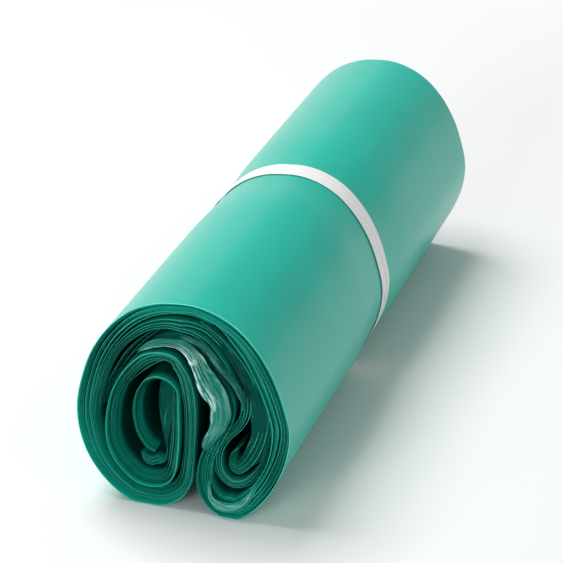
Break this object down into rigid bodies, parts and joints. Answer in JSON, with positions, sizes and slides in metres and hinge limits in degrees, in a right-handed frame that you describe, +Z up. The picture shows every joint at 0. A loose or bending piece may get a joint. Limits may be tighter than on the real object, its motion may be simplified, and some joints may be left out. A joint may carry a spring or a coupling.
{
  "type": "rolled pack of poly mailer bags",
  "caption": "Flat mailing bags curled from both ends into a double scroll and held by a strip of tape round the middle.",
  "frame": {"origin": "middle of the footprint, at the height of the surface that the pack lies on", "axes": "+Y along the pack, -Y towards the end whose scroll section the picture shows, +X across it to the right seen from that end, +Z up"},
  "size_m": [0.0958, 0.28, 0.1002],
  "materials": {
    "bag_film": "smooth satin polyethylene film, opaque teal",
    "tape_film": "thin milky translucent film tape"
  },
  "bodies": {
    "root": {"bag_roll": "bag_film", "tape_band": "tape_film"}
  },
  "joints": []
}
